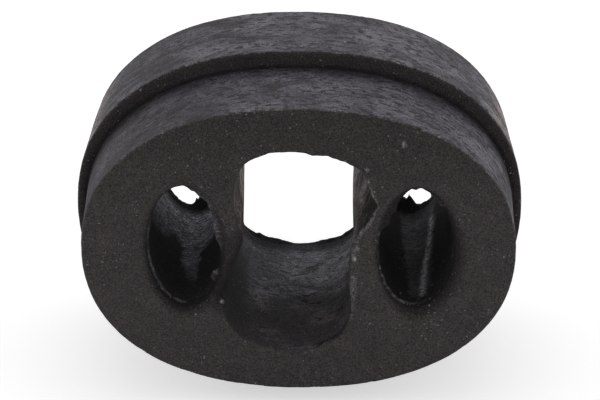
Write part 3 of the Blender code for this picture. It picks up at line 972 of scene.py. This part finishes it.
cloudy_film = add_node(tree, "ShaderNodeMapRange", inputs={
    "Value": clouds.outputs["Fac"], "From Min": 0.36, "From Max": 0.62,
    "To Min": 0.05, "To Max": 1.0})
worn_off = add_node(tree, "ShaderNodeMapRange", {"interpolation_type": "SMOOTHSTEP"}, {
    "Value": flecks.outputs["Fac"], "From Min": 0.40, "From Max": 0.48,
    "To Min": 0.0, "To Max": 1.0})
streaky = add_node(tree, "ShaderNodeMapRange", inputs={
    "Value": strokes.outputs["Fac"], "From Min": 0.36, "From Max": 0.64,
    "To Min": 0.86, "To Max": 1.14})
pit_shape = add_node(tree, "ShaderNodeTexNoise", inputs={
    "Vector": squeezed.outputs[0], "Scale": per_mm(PIT_SIZE), "Detail": 1.0, "Roughness": 0.5})
pit_level = add_node(tree, "ShaderNodeMath", {"operation": "MULTIPLY_ADD"}, {
    0: clouds.outputs["Fac"], 1: -0.25, 2: pit_shape.outputs["Fac"]})
pitted = add_node(tree, "ShaderNodeMapRange", {"interpolation_type": "SMOOTHSTEP"}, {
    "Value": pit_level.outputs[0], "From Min": 0.50, "From Max": 0.57,
    "To Min": 1.0, "To Max": 0.2})
film = region["bloom"]
for share in (cloudy_film, worn_off, streaky, pitted):
    film = add_node(tree, "ShaderNodeMath", {"operation": "MULTIPLY"}, {
        0: film, 1: share.outputs[0]}).outputs[0]
print("pits, mm:", PIT_SIZE)

# %% [markdown]
# Raw rubber is a dark grey, almost neutral on skin that slid along steel and a mottled brown on
# the flat faces. Wax is a cool grey on the first and pinkish on the second.

# %% Colour the rubber and the wax
MOTTLE_SIZE = 3.5

mottle = add_node(tree, "ShaderNodeTexNoise", inputs={
    "Vector": place.outputs["Object"], "Scale": per_mm(MOTTLE_SIZE),
    "Detail": 5.0, "Roughness": 0.7})
warm = add_node(tree, "ShaderNodeMix", {"data_type": "RGBA"}, {
    "Factor": mottle.outputs["Fac"], 6: linear("#272222"), 7: linear("#4a4444")})
raw = add_node(tree, "ShaderNodeMix", {"data_type": "RGBA"}, {
    "Factor": region["brown"], 6: linear("#2f2c30"), 7: warm.outputs[2]})
wax = add_node(tree, "ShaderNodeMix", {"data_type": "RGBA"}, {
    "Factor": region["brown"], 6: linear("#67636e"), 7: linear("#dcc6bd")})
waxed = add_node(tree, "ShaderNodeMix", {"data_type": "RGBA"}, {
    "Factor": film, 6: raw.outputs[2], 7: wax.outputs[2]})
print("mottle, mm:", MOTTLE_SIZE)

# %% [markdown]
# The core pins left bright scratches in the scraped bloom. They are much longer round the hole
# than along it, so their noise is squeezed the most.

# %% Scratch the scraped bloom
SCRATCH_SIZE = 0.9

round_pins = add_node(tree, "ShaderNodeMapping", inputs={
    "Vector": place.outputs["Object"], "Scale": (1.0, 3.5, 1.0)})
scratch_shape = add_node(tree, "ShaderNodeTexNoise", inputs={
    "Vector": round_pins.outputs[0], "Scale": per_mm(SCRATCH_SIZE), "Detail": 3.0, "Roughness": 0.7,
    "Distortion": 0.3})
scratch = add_node(tree, "ShaderNodeMapRange", {"interpolation_type": "SMOOTHSTEP"}, {
    "Value": scratch_shape.outputs["Fac"], "From Min": 0.50, "From Max": 0.64,
    "To Min": 0.0, "To Max": 1.0})
scratch_here = add_node(tree, "ShaderNodeMath", {"operation": "MULTIPLY"}, {
    0: scratch.outputs[0], 1: region["scratched"]})
scraped_wax = add_node(tree, "ShaderNodeMix", {"data_type": "RGBA"}, {
    "Factor": scratch_here.outputs[0], 6: waxed.outputs[2], 7: linear("#bcbac6")})
print("scratches, mm:", SCRATCH_SIZE)

# %% [markdown]
# Dirt, darker rubber and painted shade darken the skin, the torn corner shows raw, greenish
# rubber, and pale marks and painted highlights lighten it. A fine grain lies over all of it, as
# matt rubber scatters light from every bump.

# %% Add dirt and painted shade, the torn corner, pale marks and painted highlights, and grain
cover = add_node(tree, "ShaderNodeMapRange", inputs={
    "Value": region["dark_marks_and_painted_shade"], "From Min": 0.0, "From Max": 1.0, "To Min": 1.0, "To Max": 0.08})
darkened_and_shaded = add_node(tree, "ShaderNodeMix", {"data_type": "RGBA", "blend_type": "MULTIPLY"}, {
    "Factor": 1.0, 6: scraped_wax.outputs[2], 7: cover.outputs[0]})
raw_tear = add_node(tree, "ShaderNodeMix", {"data_type": "RGBA"}, {
    "Factor": region["torn"], 6: darkened_and_shaded.outputs[2], 7: linear("#2b2b26")})
paled_and_highlighted = add_node(tree, "ShaderNodeMix", {"data_type": "RGBA"}, {
    "Factor": region["pale_marks_and_highlights"], 6: raw_tear.outputs[2], 7: linear("#cbc8cc")})
grainy = add_node(tree, "ShaderNodeMapRange", inputs={
    "Value": fine.outputs["Fac"], "From Min": 0.34, "From Max": 0.66,
    "To Min": 0.15, "To Max": 1.85})
speckled = add_node(tree, "ShaderNodeMix", {"data_type": "RGBA", "blend_type": "MULTIPLY"}, {
    "Factor": 1.0, 6: paled_and_highlighted.outputs[2], 7: grainy.outputs[0]})
print("nodes so far:", len(tree.nodes))

# %% [markdown]
# Grains of dust sit on rubber wherever it lies about. They are the high points of a small noise,
# and a broad noise added to it lets them gather in some places and leave others clean.

# %% Drop dust on it
DUST_SIZE = 0.42
DRIFT_SIZE = 6.0

dust_shape = add_node(tree, "ShaderNodeTexNoise", inputs={
    "Vector": place.outputs["Object"], "Scale": per_mm(DUST_SIZE), "Detail": 1.0, "Roughness": 0.5})
dust_drift = add_node(tree, "ShaderNodeTexNoise", inputs={
    "Vector": place.outputs["Object"], "Scale": per_mm(DRIFT_SIZE),
    "Detail": 2.0, "Roughness": 0.6})
dust_level = add_node(tree, "ShaderNodeMath", {"operation": "MULTIPLY_ADD"}, {
    0: dust_drift.outputs["Fac"], 1: 0.25, 2: dust_shape.outputs["Fac"]})
dust_grain = add_node(tree, "ShaderNodeMapRange", {"interpolation_type": "SMOOTHSTEP"}, {
    "Value": dust_level.outputs[0], "From Min": 0.855, "From Max": 0.905,
    "To Min": 0.0, "To Max": 0.85})
dusty = add_node(tree, "ShaderNodeMix", {"data_type": "RGBA"}, {
    "Factor": dust_grain.outputs[0], 6: speckled.outputs[2], 7: linear("#8c8a8a")})
print("dust, mm:", DUST_SIZE, "gathered over, mm:", DRIFT_SIZE)

# %% [markdown]
# The bloomed skin has a soft sheen, and raw or dirty rubber is dull, as is rubber under painted
# shade. Rubber's index of refraction is about 1.52. Flecks and grain also stand up a little. A
# bump shows that in the light without more triangles.

# %% Give it its shine and its relief
RUBBER_IOR = 1.52
RELIEF = 0.12 * MM

sheen = add_node(tree, "ShaderNodeMath", {"operation": "SUBTRACT"}, {
    0: film, 1: region["dark_marks_and_painted_shade"]})
roughness = add_node(tree, "ShaderNodeMapRange", inputs={
    "Value": sheen.outputs[0], "From Min": -0.3, "From Max": 1.0, "To Min": 0.85, "To Max": 0.42})
gloss = add_node(tree, "ShaderNodeMapRange", inputs={
    "Value": region["dark_marks_and_painted_shade"], "From Min": 0.0, "From Max": 0.8, "To Min": 0.5, "To Max": 0.2})
relief = add_node(tree, "ShaderNodeMath", {"operation": "MULTIPLY_ADD"}, {
    0: flecks.outputs["Fac"], 1: 1.2, 2: fine.outputs["Fac"]})
bump = add_node(tree, "ShaderNodeBump", inputs={
    "Height": relief.outputs[0], "Distance": RELIEF, "Strength": 1.0})
shader = add_node(tree, "ShaderNodeBsdfPrincipled", inputs={
    "Base Color": dusty.outputs[2], "Roughness": roughness.outputs[0], "IOR": RUBBER_IOR,
    "Specular IOR Level": gloss.outputs[0], "Normal": bump.outputs[0]})
add_node(tree, "ShaderNodeOutputMaterial", inputs={"Surface": shader.outputs[0]})
print("nodes in the rubber:", len(tree.nodes))

# %% [markdown]
# ## Hand the block over
#
# The whole block is one material. It takes the place of the solid, which is hidden, and is
# attached to the root body.

# %% Put it on the block
block.data.materials.clear()
block.data.materials.append(rubber)
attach(block, "root")
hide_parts("rubber_buffer")
print("materials on the block:", len(block.data.materials))
